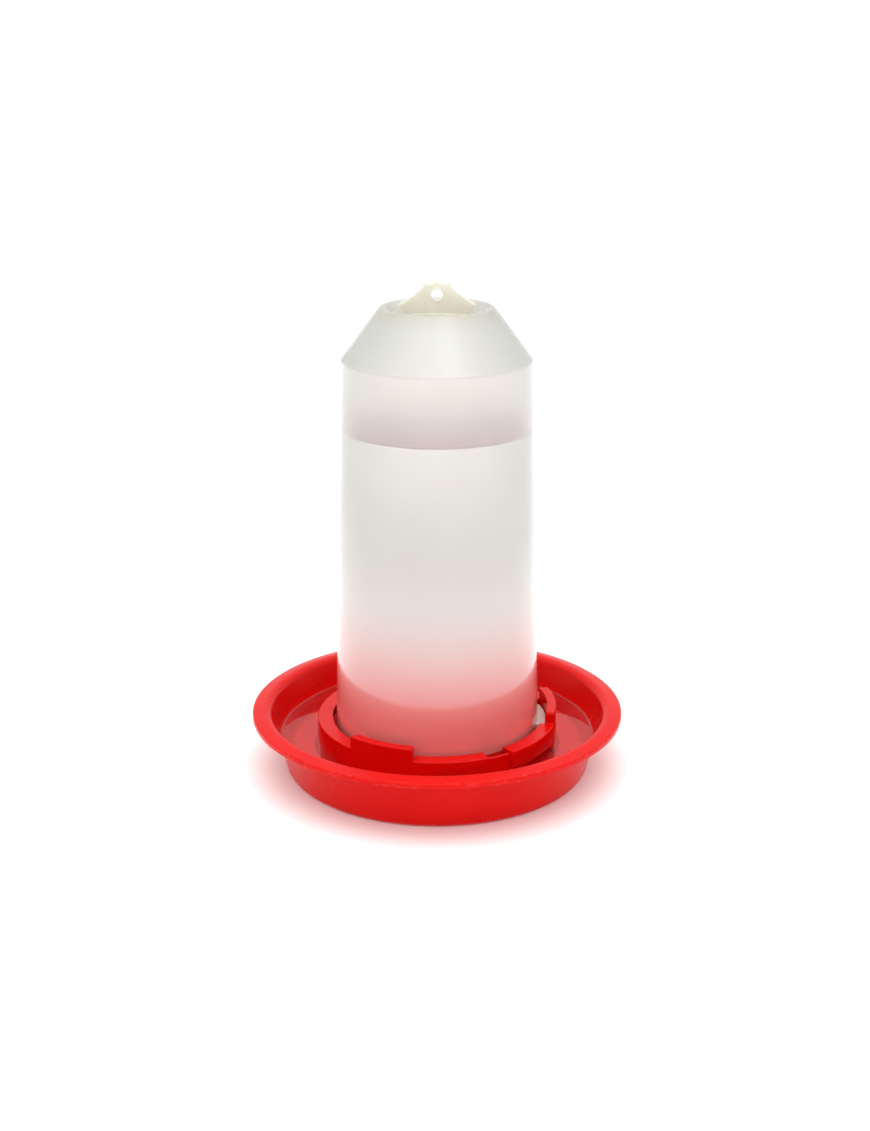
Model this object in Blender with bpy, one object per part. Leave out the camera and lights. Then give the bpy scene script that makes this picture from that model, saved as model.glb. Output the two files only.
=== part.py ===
"""Siphon drinker for poultry: an open-bottomed fount jar that twist-locks into a round drinking tray.

Two mouldings. The tray is a wide shallow pan with a bayonet collar of three hooks on its floor. The jar is a
tapered bottle with a conical shoulder, a dished top, a hanging lug in the dish and three lock lugs near
its mouth. The jar stands mouth down inside the collar. All sizes are in metres, +Z is up, and the origin
is the centre of the tray's foot. Azimuths are in degrees from the front (-Y), growing towards +X.
"""
import bpy
import bmesh
from math import atan2, ceil, cos, degrees, pi, radians, sin, sqrt
from mathutils import Matrix, Vector

# Driving dimensions of the tray
RIM_R = 0.1347              # outer radius of the rim lip
RIM_TOP_Z = 0.046           # crest of the rim flange
FLANGE_INNER_R = 0.1254     # where the flange turns down into the pan
WALL_TOP_R = 0.1200         # outside of the pan wall under the flange
BASE_R = 0.1065             # outer edge of the flat foot
PAN_T = 0.0022              # wall thickness of the tray moulding
FLOOR_Z = 0.0040            # top of the pan floor
FOOT_LIFT = 0.0016          # the floor's underside is raised inside the foot ring

# Driving dimensions of the bayonet collar
COLLAR_R = 0.0872           # outer radius at flange height
COLLAR_DRAFT = 0.05         # growth of the outer radius per unit of depth
COLLAR_TOP_Z = 0.0380       # top of the lock flanges
POCKET_TOP_Z = 0.0470       # top of the raised entry pockets
FLANGE_LIP_R = 0.0763       # inner edge of the lock flanges
POCKET_R = 0.0806           # inner face of the entry pockets
SKIRT_Z = 0.0320            # lower edge of the flanges' outer faces, over the recessed wall
STOP_Z = 0.0344             # lower edge of the ribs that stop the lock lugs
ARCH_TOP_Z = 0.0215         # crown of the water arches in the recessed wall
SECTORS = 3                 # bayonet hooks round the collar, and lock lugs round the jar
SECTOR_DEG = 360 / SECTORS
POCKET_START_DEG = -44.3    # azimuth where the first entry pocket starts
POCKET_DEG = 33.1           # width of an entry pocket; the next four turn from its start
HOOK_DEG = (-38.7, 68.8)    # ends of the hook's two flanges
FIRST_HOOK_DEG = -50.98     # the first hook runs on, without an arch, up to the third hook's end
WALL_END_DEG = (81.1, 81.1, 68.8)  # where each hook's recessed wall ends, at the next hook
ARCH_BEFORE = (-22.0, 2.0)  # crown and foot of the arch under the longer flange
ARCH_AFTER = (38.0, 50.0)   # foot and crown of the arch under the shorter flange

# Driving dimensions of the fount jar
JAR_R = 0.0740              # outer radius at the mouth
JAR_SHOULDER_R = 0.0664     # outer radius under the conical shoulder
JAR_T = 0.0016              # wall thickness of the jar
MOUTH_Z = 0.0220            # the jar's open lower edge
SHOULDER_Z = 0.3020         # top of the tapered wall
CROWN_R = 0.0392            # radius of the ring round the dished top
CROWN_Z = 0.3375            # top of that ring
DISH_R = 0.0215             # flat bottom of the dish
DISH_Z = 0.3300             # level of the dish bottom

# Driving dimensions of the hanging lug and the lock lugs
LUG_T = 0.0030              # thickness of the hanging lug
LUG_TOP_Z = 0.3530          # its trimmed upper edge, between the teeth
LUG_HOLE_Z = 0.3458         # centre of the hanging hole
LUG_HOLE_R = 0.0035         # radius of the hanging hole
LOCK_LUG_R = 0.0799         # outer radius of the lock lugs
LOCK_LUG_Z = (0.0316, 0.0356)
LOCK_LUG_DEG = (2.3, 31.3)  # ends of a lock lug, turned from the start of its pocket

GAP = 0.0003                # clearance where two pieces meet
SEGMENTS = 60               # facets round a turned piece
FACET_DEG = 360 / SEGMENTS


def clear_scene():
    for obj in list(bpy.data.objects):
        bpy.data.objects.remove(obj, do_unlink=True)


def plastic(name, colour, roughness, transmission=0.0):
    mat = bpy.data.materials.new(name)
    mat.use_nodes = True
    shader = mat.node_tree.nodes["Principled BSDF"]
    shader.inputs["Base Color"].default_value = (*colour, 1.0)
    shader.inputs["Roughness"].default_value = roughness
    shader.inputs["Metallic"].default_value = 0.0
    shader.inputs["Transmission Weight"].default_value = transmission
    mat.diffuse_color = (*colour, 1.0)
    return mat


def add_piece(name, bm, mat, parent):
    """Close off a bmesh as one smooth-shaded object under its body's empty."""
    bmesh.ops.recalc_face_normals(bm, faces=bm.faces[:])
    mesh = bpy.data.meshes.new(name)
    bm.to_mesh(mesh)
    bm.free()
    mesh.materials.append(mat)
    mesh.shade_smooth()
    mesh.set_sharp_from_angle(angle=radians(35))
    obj = bpy.data.objects.new(name, mesh)
    obj.parent = parent
    bpy.context.scene.collection.objects.link(obj)
    return obj


def add_body(name):
    empty = bpy.data.objects.new(name, None)
    bpy.context.scene.collection.objects.link(empty)
    return empty


def arc(centre, radius, start_deg, end_deg, steps):
    """Points (r, z) along a circular arc of a turned profile."""
    angles = [radians(start_deg + (end_deg - start_deg) * i / steps) for i in range(steps + 1)]
    return [(centre[0] + radius * cos(a), centre[1] + radius * sin(a)) for a in angles]


def corner_arc(before, corner, after, radius, steps):
    """Points that round the corner of a profile with an arc tangent to both of its sides."""
    a = Vector(before) - Vector(corner)
    b = Vector(after) - Vector(corner)
    half = a.angle(b) / 2
    centre = Vector(corner) + (a.normalized() + b.normalized()).normalized() * (radius / sin(half))
    start = Vector(corner) + a.normalized() * (radius * cos(half) / sin(half)) - centre
    end = Vector(corner) + b.normalized() * (radius * cos(half) / sin(half)) - centre
    first = atan2(start.y, start.x)
    sweep = (atan2(end.y, end.x) - first + pi) % (2 * pi) - pi
    return arc(centre, radius, degrees(first), degrees(first + sweep), steps)


def rounded(points, radii, steps=3):
    """A profile whose corners are rounded by the radius given for each point, 0 for a plain corner."""
    out = []
    for i, (point, radius) in enumerate(zip(points, radii)):
        if radius and 0 < i < len(points) - 1:
            out += corner_arc(points[i - 1], point, points[i + 1], radius, steps)
        else:
            out.append(tuple(point))
    return out


def turned(profile):
    """Spin a profile of (r, z) points, whose two ends lie on the Z axis, into a closed solid."""
    bm = bmesh.new()
    verts = [bm.verts.new((r, 0, z)) for r, z in profile]
    edges = [bm.edges.new(pair) for pair in zip(verts, verts[1:])]
    bmesh.ops.spin(bm, geom=verts + edges, cent=(0, 0, 0), axis=(0, 0, 1), angle=2 * pi,
                   steps=SEGMENTS, use_merge=True)
    bmesh.ops.remove_doubles(bm, verts=bm.verts[:], dist=1e-6)
    return bm


def polar(r, azimuth_deg, z):
    a = radians(azimuth_deg)
    return (r * sin(a), -r * cos(a), z)


def angle_lines(marks):
    """Azimuths at every mark, with even steps of about one facet between them."""
    marks = sorted(marks)
    lines = []
    for a, b in zip(marks, marks[1:]):
        steps = max(1, ceil((b - a) / FACET_DEG - 0.25))
        lines += [a + (b - a) * i / steps for i in range(steps)]
    return lines + [marks[-1]]


def cell_solid(columns, angles, layers, place, filled):
    """The outer skin of the filled cells of a grid that runs outward, round and upward.

    place(i, azimuth, k) gives the corner where line i of the columns meets line k of the layers.
    filled(i, middle_azimuth, k) says whether a cell is solid.
    """
    bm = bmesh.new()
    spans = len(angles) - 1
    corners = {}

    def corner(i, j, k):
        if (i, j, k) not in corners:
            corners[i, j, k] = bm.verts.new(place(i, angles[j], k))
        return corners[i, j, k]

    def solid(i, j, k):
        inside = 0 <= i < columns and 0 <= j < spans and 0 <= k < layers
        return inside and filled(i, (angles[j] + angles[j + 1]) / 2, k)

    def skin(i, j, k, step, quad):
        if not solid(i + step[0], j + step[1], k + step[2]):
            bm.faces.new([corner(i + a, j + b, k + c) for a, b, c in quad])

    for i in range(columns):
        for j in range(spans):
            for k in range(layers):
                if solid(i, j, k):
                    skin(i, j, k, (-1, 0, 0), ((0, 0, 0), (0, 0, 1), (0, 1, 1), (0, 1, 0)))
                    skin(i, j, k, (1, 0, 0), ((1, 0, 0), (1, 1, 0), (1, 1, 1), (1, 0, 1)))
                    skin(i, j, k, (0, -1, 0), ((0, 0, 0), (1, 0, 0), (1, 0, 1), (0, 0, 1)))
                    skin(i, j, k, (0, 1, 0), ((0, 1, 0), (0, 1, 1), (1, 1, 1), (1, 1, 0)))
                    skin(i, j, k, (0, 0, -1), ((0, 0, 0), (0, 1, 0), (1, 1, 0), (1, 0, 0)))
                    skin(i, j, k, (0, 0, 1), ((0, 0, 1), (1, 0, 1), (1, 1, 1), (0, 1, 1)))
    return bm


def tray_pan():
    """The round pan: foot ring, floor, sloping wall and an out-turned rim with a drooping lip."""
    lip_in = RIM_R - PAN_T
    lip_low = RIM_TOP_Z - 0.0054
    under_flange = RIM_TOP_Z - PAN_T
    outside = [
        (0, FOOT_LIFT),
        (BASE_R - 0.0080, FOOT_LIFT),
        (BASE_R - 0.0065, 0),
        (BASE_R + 0.0035, 0),
        (WALL_TOP_R + 0.0006, under_flange - 0.0006),
        (lip_in, under_flange - 0.0018),
        (lip_in, lip_low),
        (RIM_R, lip_low),
        (RIM_R, RIM_TOP_Z - 0.0018),
        (FLANGE_INNER_R - 0.0035, RIM_TOP_Z + 0.0006),
        (BASE_R + 0.0015, FLOOR_Z),
        (0, FLOOR_Z),
    ]
    radii = [0, 0, 0, 0.0055, 0.0040, 0.0008, 0, 0, 0.0010, 0.0060, 0.0050, 0]
    return turned(rounded(outside, radii))


def arch_height(turn):
    """Lower edge of a hook's wall over the water arches, at a turn from the start of its pocket."""
    foot = FLOOR_Z + GAP
    if turn < POCKET_DEG / 2:
        side = (turn - ARCH_BEFORE[0]) / (ARCH_BEFORE[1] - ARCH_BEFORE[0])
    else:
        side = (ARCH_AFTER[1] - turn) / (ARCH_AFTER[1] - ARCH_AFTER[0])
    rise = sqrt(1 - min(1.0, max(0.0, side)) ** 2)
    return foot + (ARCH_TOP_Z - foot) * max(0.06, rise)


def on_wall(sector, turn):
    """Whether a turn from the start of a pocket lies where the hook's wall stands on the floor."""
    margin = 0.01
    first_foot = ARCH_BEFORE[1] + margin if sector else FIRST_HOOK_DEG - margin
    return first_foot < turn < ARCH_AFTER[0] - margin


def bayonet_hook(sector):
    """One third of the collar: an entry pocket on a wall, with a flange reaching out on either side.

    A lock lug drops into the pocket and turns clockwise, seen from above, under the longer flange, up to
    a stop rib. Outside the pocket the wall is set back under the flanges' edge, low arches in it let water
    out of the jar, and two ribs carry the jar's mouth.
    """
    rib_inner_r, web_r, wall_inner_r = 0.0620, 0.0824, 0.0846
    radii = [rib_inner_r, FLANGE_LIP_R, POCKET_R, web_r, wall_inner_r, None]
    start = POCKET_START_DEG + sector * SECTOR_DEG
    first_deg = FIRST_HOOK_DEG if sector == 0 else HOOK_DEG[0]
    last_deg = WALL_END_DEG[sector]
    skin_deg = 1.5
    ribs = ((9.0, 10.7), (23.0, 24.7))

    def place(i, azimuth, k):
        turn = azimuth - start
        low = MOUTH_Z - GAP if on_wall(sector, turn) else arch_height(turn)
        if i == 5 and not on_wall(sector, turn):
            low = max(low, SKIRT_Z * min(1.0, arch_height(turn) / ARCH_TOP_Z))
        z = (FLOOR_Z + GAP, low, STOP_Z, COLLAR_TOP_Z - 0.0018, COLLAR_TOP_Z,
             POCKET_TOP_Z - 0.0020, POCKET_TOP_Z)[k]
        r = radii[i]
        if r is None:
            r = COLLAR_R + COLLAR_DRAFT * max(0.0, COLLAR_TOP_Z - z)
        return polar(r, azimuth, z)

    def filled(i, azimuth, k):
        turn = azimuth - start
        pocket = 0 < turn < POCKET_DEG
        if k == 0:
            return (i == 4 and on_wall(sector, turn)) or any(a < turn < b for a, b in ribs)
        if i == 0 or (k > 3 and not pocket):
            return False
        if turn > HOOK_DEG[1]:
            return i == 3
        if i == 4:
            return True
        if pocket:
            end_wall = turn < skin_deg or turn > POCKET_DEG - skin_deg
            return k > 1 and (i == 2 or (i == 3 and (k == 5 or end_wall)))
        recessed = i == 3 and not on_wall(sector, turn)
        end_rib = HOOK_DEG[0] < turn < HOOK_DEG[0] + skin_deg or turn > HOOK_DEG[1] - skin_deg
        stop_rib = POCKET_DEG < turn < POCKET_DEG + skin_deg
        return k == 3 or recessed or ((end_rib or stop_rib) and k == 2)

    marks = {first_deg, HOOK_DEG[0], HOOK_DEG[0] + skin_deg, 0, skin_deg, ARCH_BEFORE[1],
             POCKET_DEG - skin_deg, POCKET_DEG, POCKET_DEG + skin_deg, ARCH_AFTER[0],
             HOOK_DEG[1] - skin_deg, HOOK_DEG[1], last_deg}
    marks.update(mark for rib in ribs for mark in rib)
    return cell_solid(5, angle_lines([start + mark for mark in marks]), 6, place, filled)


def lock_lug(sector):
    """One arc-shaped lug on the jar's wall, lying in an entry pocket."""
    start = POCKET_START_DEG + sector * SECTOR_DEG
    radii = (JAR_R + GAP, LOCK_LUG_R)

    def place(i, azimuth, k):
        return polar(radii[i], azimuth, LOCK_LUG_Z[k])

    return cell_solid(1, angle_lines([start + turn for turn in LOCK_LUG_DEG]), 1, place, lambda *cell: True)


def fount_jar():
    """The open-bottomed bottle: tapered wall, conical shoulder and a dished top."""
    outside = [
        (0, DISH_Z),
        (DISH_R, DISH_Z),
        (CROWN_R - 0.0032, CROWN_Z),
        (CROWN_R, CROWN_Z),
        (JAR_SHOULDER_R, SHOULDER_Z),
        (JAR_R, MOUTH_Z),
    ]
    lean = atan2(CROWN_Z - SHOULDER_Z, JAR_SHOULDER_R - CROWN_R)
    inner_shoulder = JAR_T * (1 - cos(lean)) / sin(lean)
    inside = [
        (JAR_R - JAR_T, MOUTH_Z),
        (JAR_SHOULDER_R - JAR_T, SHOULDER_Z - inner_shoulder),
        (CROWN_R - 0.0012, CROWN_Z - 0.0024),
        (CROWN_R - 0.0030, CROWN_Z - 0.0024),
        (DISH_R, DISH_Z - 0.0022),
        (0, DISH_Z - 0.0022),
    ]
    radii = [0, 0.0040, 0.0012, 0.0018, 0.0030, 0]
    inner_radii = [0, 0.0020, 0.0004, 0.0004, 0.0030, 0]
    return turned(rounded(outside + inside, radii + inner_radii))


def hanging_lug_outline():
    """Right half of the lug's outline, from the dish bottom up to the middle tooth."""
    foot_z = DISH_Z + GAP
    widest = (0.0264, 0.3390)
    neck = (0.0094, 0.3515)
    points = [(0.0205, foot_z), (0.0225, 0.3326), widest]
    for i in range(1, 5):
        t = i / 4
        sag = 0.0010 * sin(pi * t)
        points.append((widest[0] + (neck[0] - widest[0]) * t - sag, widest[1] + (neck[1] - widest[1]) * t))
    points += [(0.0094, LUG_TOP_Z), (0.0084, 0.3548), (0.0070, LUG_TOP_Z + 0.0003)]
    points += [(0.0022, LUG_TOP_Z + 0.0005), (0.0000, 0.3566)]
    return points


def hanging_lug():
    """The upright tab in the dish, with the hole that a hook or a cord goes through."""
    half = hanging_lug_outline()
    outline = half + [(-x, z) for x, z in reversed(half[:-1])]
    bm = bmesh.new()
    front = [bm.verts.new((x, -LUG_T / 2, z)) for x, z in outline]
    face = bm.faces.new(front)
    swept = bmesh.ops.extrude_face_region(bm, geom=[face])
    moved = [item for item in swept["geom"] if isinstance(item, bmesh.types.BMVert)]
    bmesh.ops.translate(bm, verts=moved, vec=(0, LUG_T, 0))
    return bm


def hole_cutter():
    """Guide for the hanging hole, longer than the lug is thick."""
    bm = bmesh.new()
    across = Matrix.Translation((0, 0, LUG_HOLE_Z)) @ Matrix.Rotation(pi / 2, 4, "X")
    bmesh.ops.create_cone(bm, cap_ends=True, segments=24, radius1=LUG_HOLE_R, radius2=LUG_HOLE_R,
                          depth=4 * LUG_T, matrix=across)
    return bm


def build():
    clear_scene()
    red = plastic("tray_red", (0.72, 0.006, 0.004), 0.28)
    natural = plastic("natural_polyethylene", (0.80, 0.79, 0.75), 0.35, 0.3)

    tray = add_body("tray")
    add_piece("tray_pan", tray_pan(), red, tray)
    for sector in range(SECTORS):
        add_piece(f"bayonet_hook_{sector + 1}", bayonet_hook(sector), red, tray)

    fount = add_body("fount")
    add_piece("fount_jar", fount_jar(), natural, fount)
    for sector in range(SECTORS):
        add_piece(f"lock_lug_{sector + 1}", lock_lug(sector), natural, fount)

    lug = add_piece("hanging_lug", hanging_lug(), natural, fount)
    cutter = add_piece("hanging_hole_cutter", hole_cutter(), natural, fount)
    cutter.hide_render = True
    cutter.display_type = "WIRE"
    hole = lug.modifiers.new("hanging_hole", "BOOLEAN")
    hole.operation = "DIFFERENCE"
    hole.solver = "EXACT"
    hole.object = cutter


build()
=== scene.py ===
"""The looks of a siphon drinker for poultry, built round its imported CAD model.

A translucent jar of natural polyethylene stands mouth down in a glossy red drinking tray. Each moulding is
rebuilt here as fine surfaces: the pan, the three hooks of its bayonet collar, the bottle with its dished
top, its lock lugs and its hanging lug. The water in the jar and in the tray is one clear body. Everything
is in metres, +Z is up, and azimuths are in degrees from the front (-Y), growing towards +X.
"""
import bpy
import bmesh
from math import atan2, ceil, cos, degrees, pi, radians, sin, sqrt
from mathutils import Matrix, Vector


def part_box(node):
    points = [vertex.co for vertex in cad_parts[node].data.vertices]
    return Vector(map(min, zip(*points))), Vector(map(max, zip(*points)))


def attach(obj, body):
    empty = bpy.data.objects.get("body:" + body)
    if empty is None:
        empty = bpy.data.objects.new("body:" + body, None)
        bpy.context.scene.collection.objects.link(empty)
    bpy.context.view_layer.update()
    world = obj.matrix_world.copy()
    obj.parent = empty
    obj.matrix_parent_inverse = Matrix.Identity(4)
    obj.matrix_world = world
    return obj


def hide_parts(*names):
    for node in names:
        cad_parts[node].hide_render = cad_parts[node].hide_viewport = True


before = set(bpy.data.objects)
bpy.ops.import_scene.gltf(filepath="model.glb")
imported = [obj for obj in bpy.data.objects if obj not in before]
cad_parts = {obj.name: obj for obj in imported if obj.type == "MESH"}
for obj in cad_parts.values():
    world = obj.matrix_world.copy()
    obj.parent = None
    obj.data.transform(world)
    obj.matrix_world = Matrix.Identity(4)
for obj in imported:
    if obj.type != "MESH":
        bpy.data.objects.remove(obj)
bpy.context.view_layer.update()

# The tray, as in the CAD model
RIM_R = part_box("tray_pan")[1].x
RIM_TOP_Z = 0.0460
FLANGE_INNER_R = 0.1254
WALL_TOP_R = 0.1200
BASE_R = 0.1065
WALL_LEAN = 0.2326          # how far the outside of the pan's wall leans out for each metre up
PAN_T = 0.0022
FLOOR_Z = 0.0040
FOOT_LIFT = 0.0016

# The bayonet collar
COLLAR_R = 0.0872
COLLAR_DRAFT = 0.05
COLLAR_TOP_Z = 0.0380
POCKET_TOP_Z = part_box("bayonet_hook_1")[1].z
FLANGE_LIP_R = 0.0763
POCKET_R = 0.0806
SKIRT_Z = 0.0320
STOP_Z = 0.0344
ARCH_TOP_Z = 0.0215
SECTORS = 3
SECTOR_DEG = 360 / SECTORS
POCKET_START_DEG = -44.3
POCKET_DEG = 33.1
HOOK_DEG = (-38.7, 68.8)
FIRST_HOOK_DEG = -51.6      # the first hook runs on, without an arch, into the third hook's end
WALL_END_DEG = (81.6, 81.6, 68.8)   # the set-back wall runs on into the next hook's
ARCH_BEFORE = (-22.0, 2.0)
ARCH_AFTER = (38.0, 50.0)

# The jar and its lugs
JAR_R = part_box("fount_jar")[1].x
MOUTH_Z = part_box("fount_jar")[0].z
CROWN_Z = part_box("fount_jar")[1].z
JAR_SHOULDER_R = 0.0664
SHOULDER_Z = 0.3020
JAR_T = 0.0016
CROWN_R = 0.0392
DISH_R = 0.0215
DISH_Z = 0.3300
LUG_T = 0.0030
LUG_TOP_Z = 0.3530
LUG_HOLE_Z = 0.3458
LUG_HOLE_R = 0.0035
LOCK_LUG_R = 0.0799
LOCK_LUG_Z = (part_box("lock_lug_1")[0].z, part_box("lock_lug_1")[1].z)
LOCK_LUG_DEG = (2.3, 31.3)

# The water
JAR_WATER_Z = 0.2540
TRAY_WATER_Z = 0.0245
WETTED = 0.0002             # how far the water's skin lies inside the plastic that it wets

ROUND_STEPS = 240           # facets round a turned piece

# The studio's white tent, much brighter overhead than at the horizon
HORIZON_LIGHT = 0.83
ZENITH_LIGHT = 2.95
OVERHEAD_FALLOFF = 4.0      # power of the height in the sky
STUDIO_R = 3000.0           # the white floor runs on to the horizon

# The photo's camera
LENS_MM = 54.43
CAMERA_AT = (0.0, -1.160, 0.536)
LOOK_DOWN_DEG = 18.32


# ---------------------------------------------------------------------------------------- mesh tools


def arc(centre, radius, start_deg, end_deg, steps):
    """Points (r, z) along a circular arc of a turned profile."""
    angles = [radians(start_deg + (end_deg - start_deg) * i / steps) for i in range(steps + 1)]
    return [(centre[0] + radius * cos(a), centre[1] + radius * sin(a)) for a in angles]


def corner_arc(before, corner, after, radius, steps):
    """Points that round the corner of a profile with an arc tangent to both of its sides."""
    a = Vector(before) - Vector(corner)
    b = Vector(after) - Vector(corner)
    half = a.angle(b) / 2
    centre = Vector(corner) + (a.normalized() + b.normalized()).normalized() * (radius / sin(half))
    start = Vector(corner) + a.normalized() * (radius * cos(half) / sin(half)) - centre
    end = Vector(corner) + b.normalized() * (radius * cos(half) / sin(half)) - centre
    first = atan2(start.y, start.x)
    sweep = (atan2(end.y, end.x) - first + pi) % (2 * pi) - pi
    return arc(centre, radius, degrees(first), degrees(first + sweep), steps)


def rounded(corners, steps=8):
    """A profile of (r, z, radius) corners, each rounded by its radius, or plain where that is 0."""
    out = []
    for i, (r, z, radius) in enumerate(corners):
        if radius and 0 < i < len(corners) - 1:
            out += corner_arc(corners[i - 1][:2], (r, z), corners[i + 1][:2], radius, steps)
        else:
            out.append((r, z))
    return out


def polar(r, azimuth_deg, z):
    """The point at a radius, an azimuth from the front and a height."""
    a = radians(azimuth_deg)
    return (r * sin(a), -r * cos(a), z)


def even_azimuths():
    return [360 * i / ROUND_STEPS for i in range(ROUND_STEPS)]


def turned(profile, azimuths, raise_skin=None):
    """A closed solid turned from a profile of (r, z) points whose two ends lie on the axis.

    raise_skin(i, azimuth) is how far point i of the profile is pushed outwards at an azimuth.
    """
    bm = bmesh.new()
    rings = []
    for i, (r, z) in enumerate(profile):
        if r < 1e-7:
            rings.append([bm.verts.new((0, 0, z))])
            continue
        ring = []
        for azimuth in azimuths:
            lift = raise_skin(i, azimuth) if raise_skin else 0.0
            ring.append(bm.verts.new(polar(r + lift, azimuth, z)))
        rings.append(ring)
    count = len(azimuths)
    for lower, upper in zip(rings, rings[1:]):
        for j in range(count):
            k = (j + 1) % count
            if len(lower) == 1:
                bm.faces.new((lower[0], upper[j], upper[k]))
            elif len(upper) == 1:
                bm.faces.new((lower[j], upper[0], lower[k]))
            else:
                bm.faces.new((lower[j], upper[j], upper[k], lower[k]))
    return bm


def angle_lines(marks, widest):
    """Azimuths at every mark, with even steps no wider than about the widest between them."""
    marks = sorted(marks)
    lines = []
    for a, b in zip(marks, marks[1:]):
        steps = max(1, ceil((b - a) / widest - 0.25))
        lines += [a + (b - a) * i / steps for i in range(steps)]
    return lines + [marks[-1]]


def cell_solid(columns, angles, layers, place, filled):
    """The outer skin of the filled cells of a grid that runs outward, round and upward.

    place(i, azimuth, k) gives the corner where line i of the columns meets line k of the layers.
    filled(i, middle_azimuth, k) says whether a cell is solid.
    """
    bm = bmesh.new()
    spans = len(angles) - 1
    corners = {}
    skins = (
        ((-1, 0, 0), ((0, 0, 0), (0, 0, 1), (0, 1, 1), (0, 1, 0))),
        ((1, 0, 0), ((1, 0, 0), (1, 1, 0), (1, 1, 1), (1, 0, 1))),
        ((0, -1, 0), ((0, 0, 0), (1, 0, 0), (1, 0, 1), (0, 0, 1))),
        ((0, 1, 0), ((0, 1, 0), (0, 1, 1), (1, 1, 1), (1, 1, 0))),
        ((0, 0, -1), ((0, 0, 0), (0, 1, 0), (1, 1, 0), (1, 0, 0))),
        ((0, 0, 1), ((0, 0, 1), (1, 0, 1), (1, 1, 1), (0, 1, 1))),
    )

    def corner(i, j, k):
        if (i, j, k) not in corners:
            corners[i, j, k] = bm.verts.new(place(i, angles[j], k))
        return corners[i, j, k]

    def solid(i, j, k):
        inside = 0 <= i < columns and 0 <= j < spans and 0 <= k < layers
        return inside and filled(i, (angles[j] + angles[j + 1]) / 2, k)

    for i in range(columns):
        for j in range(spans):
            for k in range(layers):
                if not solid(i, j, k):
                    continue
                for step, quad in skins:
                    if not solid(i + step[0], j + step[1], k + step[2]):
                        bm.faces.new([corner(i + a, j + b, k + c) for a, b, c in quad])
    return bm


def add_piece(name, bm, mat, body, slot, *nodes, sharp_deg=40):
    """Turn a bmesh into a smooth-shaded piece that rides on a body and stands for CAD nodes."""
    bmesh.ops.recalc_face_normals(bm, faces=bm.faces[:])
    mesh = bpy.data.meshes.new(name)
    bm.to_mesh(mesh)
    bm.free()
    mesh.shade_smooth()
    mesh.set_sharp_from_angle(angle=radians(sharp_deg))
    obj = bpy.data.objects.new(name, mesh)
    bpy.context.scene.collection.objects.link(obj)
    return dress(obj, mat, body, slot, *nodes)


def dress(obj, mat, body, slot, *nodes):
    """Give a piece its material, its body and the CAD nodes that it stands for; the record slot is not
    used.
    """
    obj.data.materials.clear()
    obj.data.materials.append(mat)
    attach(obj, body)
    if nodes:
        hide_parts(*nodes)
    return obj


def bake_modifiers(obj):
    """Replace a piece's mesh by the one that its modifiers make."""
    bpy.context.view_layer.update()
    made = bpy.data.meshes.new_from_object(obj.evaluated_get(bpy.context.evaluated_depsgraph_get()))
    obj.modifiers.clear()
    obj.data = made
    return obj


def round_edges(obj, width):
    """Round the edges of a piece that turn sharply."""
    bevel = obj.modifiers.new("rounded_edges", "BEVEL")
    bevel.width = width
    bevel.segments = 3
    bevel.limit_method = "ANGLE"
    bevel.angle_limit = radians(50)
    bevel.use_clamp_overlap = False
    bevel.harden_normals = False
    return bake_modifiers(obj)


# ---------------------------------------------------------------------------------------- materials


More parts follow.
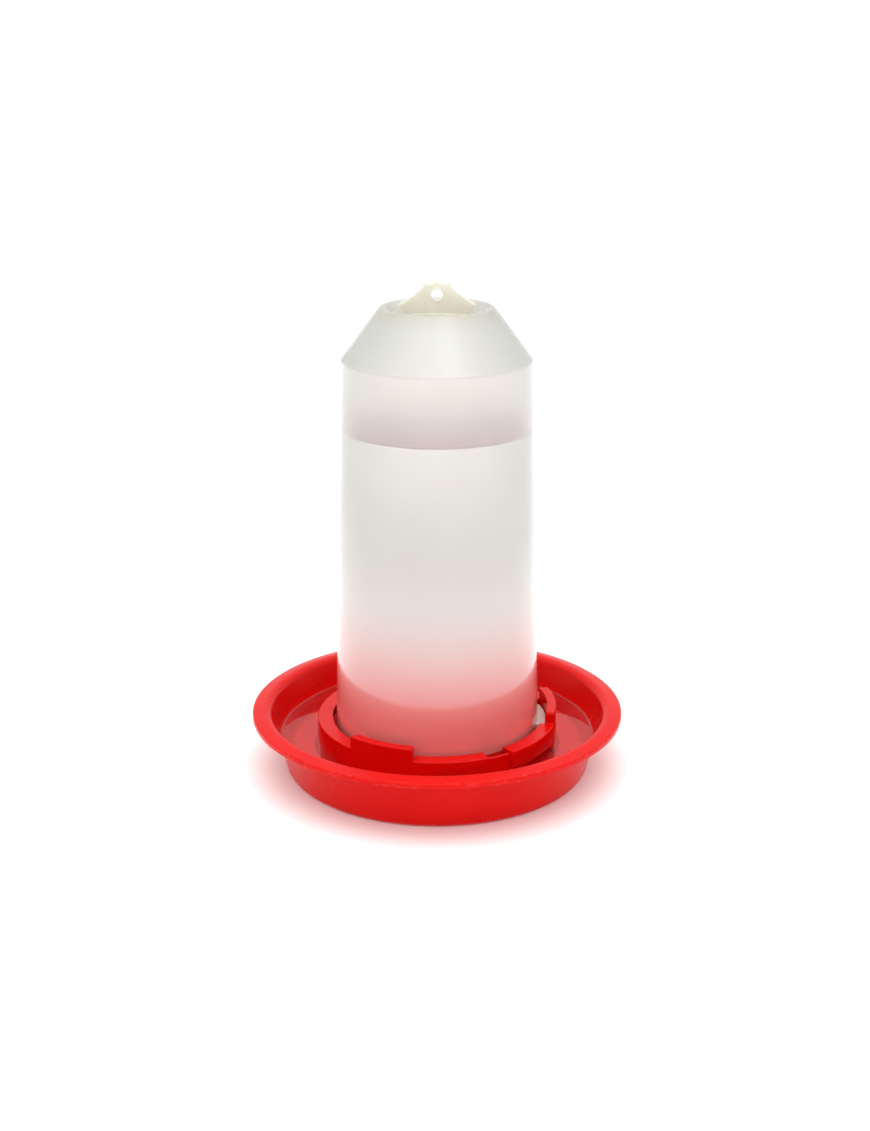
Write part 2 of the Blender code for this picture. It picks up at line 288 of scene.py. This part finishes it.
class Paint:
    """A material's node tree with the few patterns that the plastics and the water need."""

    def __init__(self, name, **constants):
        self.mat = bpy.data.materials.new(name)
        self.mat.use_nodes = True
        self.tree = self.mat.node_tree
        self.shader = self.tree.nodes["Principled BSDF"]
        for socket, value in constants.items():
            self.set(socket.replace("_", " "), value)
        self.coords = self.node("ShaderNodeTexCoord").outputs["Object"]

    def set(self, socket, value):
        target = self.shader.inputs[socket]
        target.default_value = (*value, 1.0) if target.type == "RGBA" else value

    def node(self, kind, **settings):
        made = self.tree.nodes.new(kind)
        for key, value in settings.items():
            setattr(made, key, value)
        return made

    def link(self, output, target):
        self.tree.links.new(output, target)

    def drive(self, socket, output):
        """Let a pattern set one of the plastic's own values."""
        self.link(output, self.shader.inputs[socket])

    def noise(self, scale, detail=3.0, stretch=(1, 1, 1), distortion=0.0):
        """Noise on the piece's own coordinates, finer along an axis with a larger stretch."""
        mapping = self.node("ShaderNodeMapping")
        mapping.inputs["Scale"].default_value = stretch
        self.link(self.coords, mapping.inputs["Vector"])
        made = self.node("ShaderNodeTexNoise")
        made.inputs["Scale"].default_value = scale
        made.inputs["Detail"].default_value = detail
        made.inputs["Distortion"].default_value = distortion
        self.link(mapping.outputs["Vector"], made.inputs["Vector"])
        return made.outputs["Fac"]

    def ranged(self, source, from_low, from_high, low, high, smooth=False):
        """A value that goes from low to high while the source goes from from_low to from_high."""
        made = self.node("ShaderNodeMapRange")
        if smooth:
            made.interpolation_type = "SMOOTHSTEP"
        limits = {"From Min": from_low, "From Max": from_high, "To Min": low, "To Max": high}
        for socket, value in limits.items():
            made.inputs[socket].default_value = value
        self.link(source, made.inputs["Value"])
        return made.outputs["Result"]

    def math(self, operation, a, b):
        made = self.node("ShaderNodeMath", operation=operation)
        for socket, value in zip(made.inputs, (a, b)):
            if isinstance(value, (int, float)):
                socket.default_value = value
            else:
                self.link(value, socket)
        return made.outputs["Value"]

    def mixed(self, share, a, b):
        """A colour from a to b; each is a colour or a socket."""
        made = self.node("ShaderNodeMix", data_type="RGBA")
        self.link(share, made.inputs["Factor"])
        colour_a, colour_b, colour_result = made.inputs[6], made.inputs[7], made.outputs[2]
        for socket, value in ((colour_a, a), (colour_b, b)):
            if isinstance(value, tuple):
                socket.default_value = (*value, 1.0)
            else:
                self.link(value, socket)
        return colour_result

    def height(self):
        split = self.node("ShaderNodeSeparateXYZ")
        self.link(self.coords, split.inputs["Vector"])
        return split.outputs["Z"]

    def radius(self):
        split = self.node("ShaderNodeSeparateXYZ")
        self.link(self.coords, split.inputs["Vector"])
        squares = [self.math("MULTIPLY", split.outputs[axis], split.outputs[axis]) for axis in "XY"]
        return self.math("SQRT", self.math("ADD", *squares), 0.0)

    def relief(self, *layers):
        """Bump from (source, metres) layers, one on top of the other."""
        normal = None
        for source, metres in layers:
            bump = self.node("ShaderNodeBump")
            bump.inputs["Strength"].default_value = 1.0
            bump.inputs["Distance"].default_value = metres
            self.link(source, bump.inputs["Height"])
            if normal is not None:
                self.link(normal, bump.inputs["Normal"])
            normal = bump.outputs["Normal"]
        self.link(normal, self.shader.inputs["Normal"])
        if self.shader.inputs["Coat Weight"].default_value > 0:
            self.link(normal, self.shader.inputs["Coat Normal"])


def red_plastic():
    """Glossy injection-moulded red, with painted light brightening the trough, scuffed on the rim's lip and
    the foot.
    """
    paint = Paint("glossy_red_plastic", Metallic=0.0, IOR=1.45, Specular_IOR_Level=0.16)
    cloud = paint.ranged(paint.noise(28, 3), 0.35, 0.65, 0.0, 1.0)
    base = paint.mixed(cloud, (0.620, 0.0016, 0.0006), (0.655, 0.0028, 0.0012))
    wall_r = paint.math("ADD", paint.math("MULTIPLY", paint.height(), WALL_LEAN), BASE_R + 0.0025)
    depth = paint.math("SUBTRACT", wall_r, paint.radius())
    inside_wall = paint.ranged(depth, -0.0005, 0.0005, 0.0, 1.0)
    past_collar = paint.ranged(paint.radius(), COLLAR_R + 0.0018, COLLAR_R + 0.0028, 0.0, 1.0)
    painted_trough_light = paint.math("MULTIPLY", inside_wall, past_collar)
    # painted light: the red inside the trough, past the collar and within the pan's wall, is made brighter
    # to stand in for the light that fills it
    base = paint.mixed(painted_trough_light, base, (0.950, 0.0060, 0.0045))
    at_lip = paint.ranged(paint.radius(), RIM_R - 0.0022, RIM_R - 0.0002, 0.0, 1.0, smooth=True)
    at_foot = paint.ranged(paint.height(), 0.0002, 0.0014, 1.0, 0.0, smooth=True)
    worn = paint.ranged(paint.noise(170, 6, stretch=(1, 1, 2.5)), 0.56, 0.66, 0.0, 1.0)
    scuffs = paint.math("MULTIPLY", worn, paint.math("MAXIMUM", at_lip, at_foot))
    base = paint.mixed(paint.math("MULTIPLY", scuffs, 0.20), base, (0.74, 0.10, 0.08))
    paint.drive("Base Color", base)
    smears = paint.ranged(paint.noise(45, 5, distortion=0.6), 0.3, 0.75, 0.17, 0.30)
    rough = paint.math("ADD", smears, paint.math("MULTIPLY", scuffs, 0.30))
    paint.drive("Roughness", rough)
    paint.relief((paint.noise(90, 2), 0.00006), (paint.noise(1500, 2), 0.000004))
    return paint.mat


def natural_plastic():
    """Translucent blow-moulded polyethylene: a milky wall with drawn streaks and a slightly uneven skin.

    Painted light: the tray's red glow is painted up the wall from the mouth and again as a pink glow over
    the water's surface; painted shade greys the cone and turns the foot dark red inside the collar.
    """
    collar_line = 0.0336            # below it the wall stands in the red collar
    # the painted red glow from the tray fades out between these heights
    pink_z, plain_z = 0.055, 0.155  # the red spread fades out between these heights
    milky_z, clear_z = 0.030, 0.235     # the wall lets more light through between these
    band = 0.026                    # height of the pink band over the water
    paint = Paint("natural_polyethylene", Metallic=0.0, IOR=1.5,
                  Coat_Weight=1.0, Coat_Roughness=0.09, Coat_IOR=1.7)
    cloud = paint.ranged(paint.noise(22, 3, stretch=(1, 1, 0.35)), 0.3, 0.7, 0.0, 1.0)
    base = paint.mixed(cloud, (0.950, 0.930, 0.886), (0.965, 0.946, 0.904))
    # painted light: a pink glow over the water's surface, for the tray's red light seen through the water,
    # is painted on the wall
    band_foot = paint.ranged(paint.height(), JAR_WATER_Z, JAR_WATER_Z + 0.0006, 0.0, 1.0)
    band_fade = paint.ranged(paint.height(), JAR_WATER_Z, JAR_WATER_Z + band, 1.0, 0.0)
    painted_pink_glow = paint.math("MULTIPLY", band_foot, band_fade)
    base = paint.mixed(painted_pink_glow, base, (0.950, 0.820, 0.815))
    on_cone = paint.ranged(paint.height(), SHOULDER_Z - 0.002, SHOULDER_Z + 0.002, 0.0, 1.0)
    # painted shade: the cone is painted greyer to tone down the light that falls on it from overhead
    base = paint.mixed(on_cone, base, (0.810, 0.812, 0.770))
    at_crown = paint.ranged(paint.height(), CROWN_Z - 0.010, CROWN_Z, 0.0, 0.6, smooth=True)
    base = paint.mixed(at_crown, base, (0.74, 0.70, 0.55))
    # painted light: the tray's red glow is painted on the wall, strongest at the mouth
    painted_red_glow = paint.ranged(paint.height(), pink_z, plain_z, 1.0, 0.0, smooth=True)
    base = paint.mixed(painted_red_glow, base, (0.875, 0.228, 0.216))
    # painted shade: below the collar line the jar's foot is painted dark red for the collar's red shade
    # around it
    at_foot = paint.ranged(paint.height(), collar_line, collar_line + 0.0006, 1.0, 0.0, smooth=True)
    base = paint.mixed(at_foot, base, (0.80, 0.020, 0.015))
    paint.drive("Base Color", base)
    clear = paint.ranged(paint.height(), milky_z, clear_z, 0.14, 0.85, smooth=True)
    clear = paint.math("SUBTRACT", clear, paint.math("MULTIPLY", on_cone, 0.16))
    paint.drive("Transmission Weight", clear)
    rough = paint.ranged(paint.noise(60, 4, stretch=(1, 1, 0.3)), 0.3, 0.7, 0.34, 0.40)
    rough = paint.math("ADD", rough, paint.math("MULTIPLY", on_cone, 0.15))
    paint.drive("Roughness", rough)
    paint.relief((paint.noise(14, 2, stretch=(1, 1, 0.25)), 0.0005),
                 (paint.noise(160, 3, stretch=(1, 1, 0.06)), 0.00002),
                 (paint.noise(900, 2), 0.000004))
    return paint.mat


def thick_plastic():
    """The same polyethylene where it is thick: more opaque, a little yellow, with a painted pink glow from
    the tray down in it.
    """
    paint = Paint("pinched_polyethylene", Metallic=0.0, IOR=1.5, Transmission_Weight=0.15,
                  Subsurface_Weight=1.0, Subsurface_Scale=0.004, Subsurface_Radius=(1.0, 0.95, 0.80),
                  Coat_Weight=0.4, Coat_Roughness=0.18)
    cloud = paint.ranged(paint.noise(130, 4), 0.35, 0.65, 0.0, 1.0)
    base = paint.mixed(cloud, (0.760, 0.740, 0.640), (0.800, 0.785, 0.700))
    # painted light: the tray's red glow is painted pink on the plastic below the rim
    painted_tray_glow = paint.ranged(paint.height(), RIM_TOP_Z, RIM_TOP_Z + 0.010, 0.45, 0.0)
    base = paint.mixed(painted_tray_glow, base, (0.950, 0.560, 0.530))
    paint.drive("Base Color", base)
    rough = paint.ranged(paint.noise(240, 4), 0.3, 0.7, 0.34, 0.52)
    paint.drive("Roughness", rough)
    paint.relief((paint.noise(260, 4), 0.00010), (paint.noise(1400, 2), 0.00001))
    return paint.mat


def clear_water():
    """Still drinking water with the faintest ripple."""
    paint = Paint("clear_water", Base_Color=(1.0, 1.0, 1.0), Roughness=0.0, Metallic=0.0, IOR=1.333,
                  Transmission_Weight=1.0)
    paint.relief((paint.noise(35, 2), 0.00005))
    return paint.mat


def pale_floor():
    """Matt white studio floor with a hint of grain."""
    paint = Paint("pale_studio_floor", Roughness=0.75, Metallic=0.0, Specular_IOR_Level=0.2)
    cloud = paint.ranged(paint.noise(3, 3), 0.3, 0.7, 0.0, 1.0)
    paint.drive("Base Color", paint.mixed(cloud, (0.945, 0.945, 0.94), (0.960, 0.960, 0.955)))
    paint.relief((paint.noise(250, 2), 0.00002))
    return paint.mat


# ---------------------------------------------------------------------------------------- the tray


def pan_profile():
    """The moulded pan: gate mark under the floor, foot ring, sloping wall, drooping lip and floor."""
    lip_in = RIM_R - PAN_T
    lip_low = RIM_TOP_Z - 0.0054
    under_flange = RIM_TOP_Z - PAN_T
    return rounded([
        (0, FOOT_LIFT - 0.0007, 0),
        (0.0021, FOOT_LIFT - 0.0007, 0.0003),
        (0.0027, FOOT_LIFT, 0.0003),
        (BASE_R - 0.0080, FOOT_LIFT, 0.0005),
        (BASE_R - 0.0065, 0, 0.0005),
        (BASE_R + 0.0035, 0, 0.0055),
        (WALL_TOP_R + 0.0006, under_flange - 0.0006, 0.0040),
        (lip_in, under_flange - 0.0018, 0.0008),
        (lip_in, lip_low, 0.0004),
        (RIM_R, lip_low, 0.0005),
        (RIM_R, RIM_TOP_Z - 0.0018, 0.0010),
        (FLANGE_INNER_R - 0.0035, RIM_TOP_Z + 0.0006, 0.0060),
        (BASE_R + 0.0015, FLOOR_Z, 0.0050),
        (0, FLOOR_Z, 0),
    ])


def tray_pan(mat):
    return add_piece("pan_moulding", turned(pan_profile(), even_azimuths()), mat, "tray", "tray_red",
                     "tray_pan", sharp_deg=60)


def arch_height(turn):
    """Lower edge of a hook's wall over the water arches, at a turn from the start of its pocket."""
    if turn < POCKET_DEG / 2:
        side = (turn - ARCH_BEFORE[0]) / (ARCH_BEFORE[1] - ARCH_BEFORE[0])
    else:
        side = (ARCH_AFTER[1] - turn) / (ARCH_AFTER[1] - ARCH_AFTER[0])
    rise = sqrt(1 - min(1.0, max(0.0, side)) ** 2)
    return FLOOR_Z + (ARCH_TOP_Z - FLOOR_Z) * max(0.10, rise)


def on_wall(sector, turn):
    """Whether a turn from the start of a pocket lies where the hook's wall stands on the floor."""
    first_foot = ARCH_BEFORE[1] + 0.01 if sector else FIRST_HOOK_DEG - 0.01
    return first_foot < turn < ARCH_AFTER[0] - 0.01


def bayonet_hook(sector, mat):
    """One third of the collar: an entry pocket on a wall, and a flange on either side over a set-back wall.

    Its section is a grid of cells, counted outward and upward. Those below the skirt are the wall's foot.
    """
    rib, pocket_wall, set_back, outer_wall, outer_face = 0, 2, 3, 4, 5
    skirt, throat, flange, ceiling = 3, 4, 5, 7
    rib_inner_r, set_back_r, wall_inner_r = 0.0620, 0.0824, 0.0846
    radii = (rib_inner_r, FLANGE_LIP_R, POCKET_R, set_back_r)
    start = POCKET_START_DEG + sector * SECTOR_DEG
    first_deg = HOOK_DEG[0] if sector else FIRST_HOOK_DEG
    last_deg = WALL_END_DEG[sector]
    skin_deg = 1.5
    ribs = ((9.0, 10.7), (23.0, 24.7))
    flare = (0.0016, 0.0005, 0.0)       # the wall's foot spreads into the floor
    flare_z = (FLOOR_Z - 0.0002, FLOOR_Z + 0.0005, FLOOR_Z + 0.0016)
    corner_r = 0.0019
    corner_lines = (0.4, 0.9)           # degrees in from the pocket's ends, to follow its rounded corners

    def pocket_top(turn):
        """The raised pocket's top, with its two upper corners rounded off."""
        inset = radians(min(turn, POCKET_DEG - turn)) * COLLAR_R
        if not 0 <= inset < corner_r:
            return POCKET_TOP_Z
        return POCKET_TOP_Z - corner_r + sqrt(corner_r ** 2 - (corner_r - inset) ** 2)

    def place(i, azimuth, k):
        turn = azimuth - start
        low = MOUTH_Z - 0.0003 if on_wall(sector, turn) else arch_height(turn)
        if i == outer_face and not on_wall(sector, turn):
            low = max(low, SKIRT_Z * min(1.0, arch_height(turn) / ARCH_TOP_Z))
        z = (*flare_z, low, STOP_Z, COLLAR_TOP_Z - 0.0018, COLLAR_TOP_Z,
             POCKET_TOP_Z - 0.0024, pocket_top(turn))[k]
        spread = flare[k] if k < skirt else 0.0
        if i == outer_face:
            r = COLLAR_R + COLLAR_DRAFT * max(0.0, COLLAR_TOP_Z - z) + spread
        elif i == outer_wall:
            r = wall_inner_r - spread
        else:
            r = radii[i]
        return polar(r, azimuth, z)

    def filled(i, azimuth, k):
        turn = azimuth - start
        pocket = 0 < turn < POCKET_DEG
        if k < skirt:
            return (i == outer_wall and on_wall(sector, turn)) or any(a < turn < b for a, b in ribs)
        if i == rib or (k > flange and not pocket):
            return False
        if turn > HOOK_DEG[1]:
            return i == set_back and k < flange
        if i == outer_wall:
            return True
        if pocket:
            end_wall = turn < skin_deg or turn > POCKET_DEG - skin_deg
            return k > skirt and (i == pocket_wall or (i == set_back and (k == ceiling or end_wall)))
        under_arch = i == set_back and not on_wall(sector, turn)
        end_rib = HOOK_DEG[0] < turn < HOOK_DEG[0] + skin_deg or turn > HOOK_DEG[1] - skin_deg
        stop_rib = POCKET_DEG < turn < POCKET_DEG + skin_deg
        return k == flange or under_arch or ((end_rib or stop_rib) and k == throat)

    marks = {first_deg, HOOK_DEG[0], HOOK_DEG[0] + skin_deg, 0, skin_deg, ARCH_BEFORE[1],
             POCKET_DEG - skin_deg, POCKET_DEG, POCKET_DEG + skin_deg, ARCH_AFTER[0],
             HOOK_DEG[1] - skin_deg, HOOK_DEG[1], last_deg}
    marks.update(corner_lines)
    marks.update(POCKET_DEG - line for line in corner_lines)
    marks.update(mark for rib_ends in ribs for mark in rib_ends)
    lines = angle_lines([start + mark for mark in marks], 1.5)
    bm = cell_solid(outer_face, lines, ceiling + 1, place, filled)
    name = f"bayonet_hook_{sector + 1}"
    hook = add_piece(f"collar_hook_{sector + 1}", bm, mat, "tray", "tray_red", name)
    return round_edges(hook, 0.0006)


# ---------------------------------------------------------------------------------------- the fount


def jar_outside():
    return rounded([
        (0, DISH_Z, 0),
        (DISH_R, DISH_Z, 0.0040),
        (CROWN_R - 0.0032, CROWN_Z, 0.0012),
        (CROWN_R, CROWN_Z, 0.0018),
        (JAR_SHOULDER_R, SHOULDER_Z, 0.0030),
        (JAR_R, MOUTH_Z, 0.0005),
        (JAR_R - JAR_T, MOUTH_Z, 0),
    ])


def jar_inside():
    lean = atan2(CROWN_Z - SHOULDER_Z, JAR_SHOULDER_R - CROWN_R)
    inner_shoulder = JAR_T * (1 - cos(lean)) / sin(lean)
    return rounded([
        (JAR_R, MOUTH_Z, 0),
        (JAR_R - JAR_T, MOUTH_Z, 0.0005),
        (JAR_SHOULDER_R - JAR_T, SHOULDER_Z - inner_shoulder, 0.0022),
        (CROWN_R - 0.0012, CROWN_Z - 0.0024, 0.0008),
        (CROWN_R - 0.0030, CROWN_Z - 0.0024, 0.0004),
        (DISH_R, DISH_Z - 0.0022, 0.0030),
        (0, DISH_Z - 0.0022, 0),
    ])[1:]


def jar(mat):
    """The bottle, with the mould's parting line as a fine ridge down its left and right sides."""
    outside = jar_outside()[:-1]
    ridge_height, ridge_deg = 0.00018, 0.22
    ridge_lines = [side + step * ridge_deg for side in (90, 270) for step in (-2, -1, 0, 1, 2)]
    azimuths = sorted(set(even_azimuths()) | set(ridge_lines))
    azimuths = [a for a in azimuths
                if a in ridge_lines or all(abs(a - line) > ridge_deg / 2 for line in ridge_lines)]

    def parting_line(i, azimuth):
        on_outside = 0 < i < len(outside)
        off_line = min(abs(azimuth - 90), abs(azimuth - 270))
        return ridge_height if on_outside and off_line < ridge_deg * 1.2 else 0.0

    bm = turned(outside + jar_inside(), azimuths, parting_line)
    return add_piece("jar_bottle", bm, mat, "fount", "natural_polyethylene", "fount_jar", sharp_deg=60)


def lock_lug(sector, mat):
    """A lug moulded on the jar's wall: its root runs into the wall, and its leading end is eased."""
    start = POCKET_START_DEG + sector * SECTOR_DEG
    radii = (JAR_R - 0.0008, JAR_R + 0.0012, LOCK_LUG_R - 0.0010, LOCK_LUG_R)
    low, high = LOCK_LUG_Z
    ease_deg = 3.5

    def place(i, azimuth, k):
        turn = azimuth - start
        inset = min(turn - LOCK_LUG_DEG[0], LOCK_LUG_DEG[1] - turn)
        ease = 0.0014 * (1 - min(1.0, inset / ease_deg)) ** 2 if i > 1 else 0.0
        root = 0.0007 if i == 0 else 0.0
        z = (low - root, (low + high) / 2, high + root)[k]
        return polar(radii[i] - ease, azimuth, z)

    ends = (*LOCK_LUG_DEG, LOCK_LUG_DEG[0] + ease_deg, LOCK_LUG_DEG[1] - ease_deg)
    lines = angle_lines([start + turn for turn in ends], 1.2)
    bm = cell_solid(3, lines, 2, place, lambda *cell: True)
    name = f"lock_lug_{sector + 1}"
    lug = add_piece(f"jar_{name}", bm, mat, "fount", "natural_polyethylene", name)
    return round_edges(lug, 0.0005)


def lug_outline():
    """Right half of the hanging lug's outline, from inside the dish bottom up to the middle tooth."""
    widest = (0.0264, 0.3390)
    neck = (0.0094, 0.3515)
    points = [(0.0200, DISH_Z - 0.0008), (0.0207, DISH_Z + 0.0005), (0.0225, 0.3326), widest]
    flank_steps = 8
    for i in range(1, flank_steps + 1):
        t = i / flank_steps
        sag = 0.0010 * sin(pi * t)
        points.append((widest[0] + (neck[0] - widest[0]) * t - sag, widest[1] + (neck[1] - widest[1]) * t))
    points += [(neck[0], LUG_TOP_Z), (0.0084, 0.3548), (0.0070, LUG_TOP_Z + 0.0003)]
    points += [(0.0022, LUG_TOP_Z + 0.0005), (0.0000, 0.3566)]
    return points


def plate(name, outline, thickness):
    """A flat plate in the XZ plane, centred on y = 0."""
    bm = bmesh.new()
    face = bm.faces.new([bm.verts.new((x, -thickness / 2, z)) for x, z in outline])
    swept = bmesh.ops.extrude_face_region(bm, geom=[face])
    moved = [item for item in swept["geom"] if isinstance(item, bmesh.types.BMVert)]
    bmesh.ops.translate(bm, verts=moved, vec=(0, thickness, 0))
    bmesh.ops.recalc_face_normals(bm, faces=bm.faces[:])
    mesh = bpy.data.meshes.new(name)
    bm.to_mesh(mesh)
    bm.free()
    obj = bpy.data.objects.new(name, mesh)
    bpy.context.scene.collection.objects.link(obj)
    return obj


def upright_disc(name, radius, depth):
    """A round plug through the hanging hole's centre, along Y."""
    bm = bmesh.new()
    across = Matrix.Translation((0, 0, LUG_HOLE_Z)) @ Matrix.Rotation(pi / 2, 4, "X")
    bmesh.ops.create_cone(bm, cap_ends=True, segments=48, radius1=radius, radius2=radius, depth=depth,
                          matrix=across)
    mesh = bpy.data.meshes.new(name)
    bm.to_mesh(mesh)
    bm.free()
    obj = bpy.data.objects.new(name, mesh)
    bpy.context.scene.collection.objects.link(obj)
    return obj


def combine(obj, other, operation):
    """Join or cut a helper shape, and remove it."""
    step = obj.modifiers.new(operation.lower(), "BOOLEAN")
    step.operation = operation
    step.solver = "EXACT"
    step.object = other
    bake_modifiers(obj)
    bpy.data.objects.remove(other, do_unlink=True)


def hanging_lug(mat):
    """The pinched tab in the dish: a plate on a thicker root, with a low rim round its hole."""
    half = lug_outline()
    lug = plate("hanging_tab", half + [(-x, z) for x, z in reversed(half[:-1])], LUG_T)
    root = [(0.0202, DISH_Z - 0.0008), (0.0212, DISH_Z + 0.0022), (0.0, DISH_Z + 0.0030)]
    root += [(-x, z) for x, z in reversed(root[:-1])]
    combine(lug, plate("root", root, LUG_T + 0.0022), "UNION")
    combine(lug, upright_disc("rim", LUG_HOLE_R + 0.0013, LUG_T + 0.0008), "UNION")
    combine(lug, upright_disc("hole", LUG_HOLE_R + 0.0001, 4 * LUG_T), "DIFFERENCE")
    remesh = lug.modifiers.new("even_skin", "REMESH")
    remesh.mode = "VOXEL"
    remesh.voxel_size = 0.00030
    soften = lug.modifiers.new("soft_edges", "SMOOTH")
    soften.factor = 0.5
    soften.iterations = 4
    bake_modifiers(lug)
    lug.data.shade_smooth()
    return dress(lug, mat, "fount", "natural_polyethylene", "hanging_lug")


# ---------------------------------------------------------------------------------------- the water


def jar_inner_radius(z):
    share = (z - MOUTH_Z) / (SHOULDER_Z - MOUTH_Z)
    return JAR_R + (JAR_SHOULDER_R - JAR_R) * share - JAR_T


def pan_inner_radius(z):
    share = (z - FLOOR_Z) / (RIM_TOP_Z - FLOOR_Z)
    return BASE_R + 0.0015 + (FLANGE_INNER_R - 0.0035 - BASE_R - 0.0015) * share


def water(mat):
    """Water from the tray's floor, under the jar's mouth and up to its level in the jar."""
    meniscus = 0.0009
    edge_r = pan_inner_radius(TRAY_WATER_Z)
    profile = rounded([
        (0, FLOOR_Z - WETTED, 0),
        (BASE_R + 0.0015 + WETTED, FLOOR_Z - WETTED, 0.0050),
        (edge_r + 2 * WETTED, TRAY_WATER_Z + meniscus, 0),
        (edge_r - 0.0005, TRAY_WATER_Z + meniscus * 0.35, 0),
        (edge_r - 0.0018, TRAY_WATER_Z, 0),
        (JAR_R + 0.0014, TRAY_WATER_Z, 0),
        (JAR_R + 0.0004, TRAY_WATER_Z + meniscus * 0.35, 0),
        (JAR_R - WETTED, TRAY_WATER_Z + meniscus, 0),
        (JAR_R - WETTED, MOUTH_Z + WETTED, 0),
        (JAR_R - JAR_T + WETTED, MOUTH_Z + WETTED, 0),
        (jar_inner_radius(JAR_WATER_Z) + WETTED, JAR_WATER_Z + meniscus, 0),
        (jar_inner_radius(JAR_WATER_Z) - 0.0006, JAR_WATER_Z + meniscus * 0.3, 0),
        (jar_inner_radius(JAR_WATER_Z) - 0.0020, JAR_WATER_Z, 0),
        (0, JAR_WATER_Z, 0),
    ])
    return add_piece("drinking_water", turned(profile, even_azimuths()), mat, "tray", None)


# ---------------------------------------------------------------------------------------- the studio


def softbox(name, location, target, size, watts):
    data = bpy.data.lights.new(name, "AREA")
    data.shape = "RECTANGLE"
    data.size, data.size_y = size
    data.energy = watts
    light = bpy.data.objects.new(name, data)
    light.location = location
    light.rotation_euler = (Vector(target) - Vector(location)).to_track_quat("-Z", "Y").to_euler()
    bpy.context.scene.collection.objects.link(light)
    return light


def white_tent():
    """A white sky that brightens steeply towards the zenith."""
    world = bpy.data.worlds.new("white_tent")
    world.use_nodes = True
    tree = world.node_tree
    sky = tree.nodes["Background"]
    sky.inputs["Color"].default_value = (1.0, 1.0, 1.0, 1.0)
    direction = tree.nodes.new("ShaderNodeTexCoord").outputs["Generated"]
    split = tree.nodes.new("ShaderNodeSeparateXYZ")
    tree.links.new(direction, split.inputs["Vector"])
    overhead = tree.nodes.new("ShaderNodeMath")
    overhead.operation = "POWER"
    overhead.use_clamp = True
    overhead.inputs[1].default_value = OVERHEAD_FALLOFF
    tree.links.new(split.outputs["Z"], overhead.inputs[0])
    shade = tree.nodes.new("ShaderNodeMapRange")
    shade.inputs["To Min"].default_value = HORIZON_LIGHT
    shade.inputs["To Max"].default_value = ZENITH_LIGHT
    tree.links.new(overhead.outputs["Value"], shade.inputs["Value"])
    tree.links.new(shade.outputs["Result"], sky.inputs["Strength"])
    return world


def studio_floor():
    """A white disc just under the tray's foot."""
    bm = bmesh.new()
    bmesh.ops.create_circle(bm, cap_ends=True, segments=96, radius=STUDIO_R)
    mesh = bpy.data.meshes.new("studio_floor")
    bm.to_mesh(mesh)
    bm.free()
    mesh.materials.append(pale_floor())
    floor = bpy.data.objects.new("studio_floor", mesh)
    floor.location.z = -0.0002
    bpy.context.scene.collection.objects.link(floor)


def studio():
    scene = bpy.context.scene
    scene.view_settings.view_transform = "Standard"
    scene.view_settings.look = "None"
    scene.world = white_tent()
    studio_floor()
    softbox("key_softbox", location=(0.29, -0.53, 1.42), target=(0, 0, 0.30), size=(0.50, 0.32), watts=0.3)
    softbox("front_softbox", location=(0.0, -1.5, 1.45), target=(0, 0, 0.1), size=(1.4, 0.8), watts=3.5)


def camera():
    data = bpy.data.cameras.new("camera")
    data.sensor_width = 36.0
    data.lens = LENS_MM
    data.clip_start = 0.05
    data.clip_end = 10000.0
    data.shift_x = -0.0018
    cam = bpy.data.objects.new("camera", data)
    cam.location = CAMERA_AT
    cam.rotation_euler = (radians(90 - LOOK_DOWN_DEG), 0, 0)
    bpy.context.scene.collection.objects.link(cam)
    bpy.context.scene.camera = cam


def build():
    camera()
    studio()
    red = red_plastic()
    natural = natural_plastic()
    thick = thick_plastic()
    tray_pan(red)
    for sector in range(SECTORS):
        bayonet_hook(sector, red)
    jar(natural)
    for sector in range(SECTORS):
        lock_lug(sector, thick)
    hanging_lug(thick)
    water(clear_water())


build()
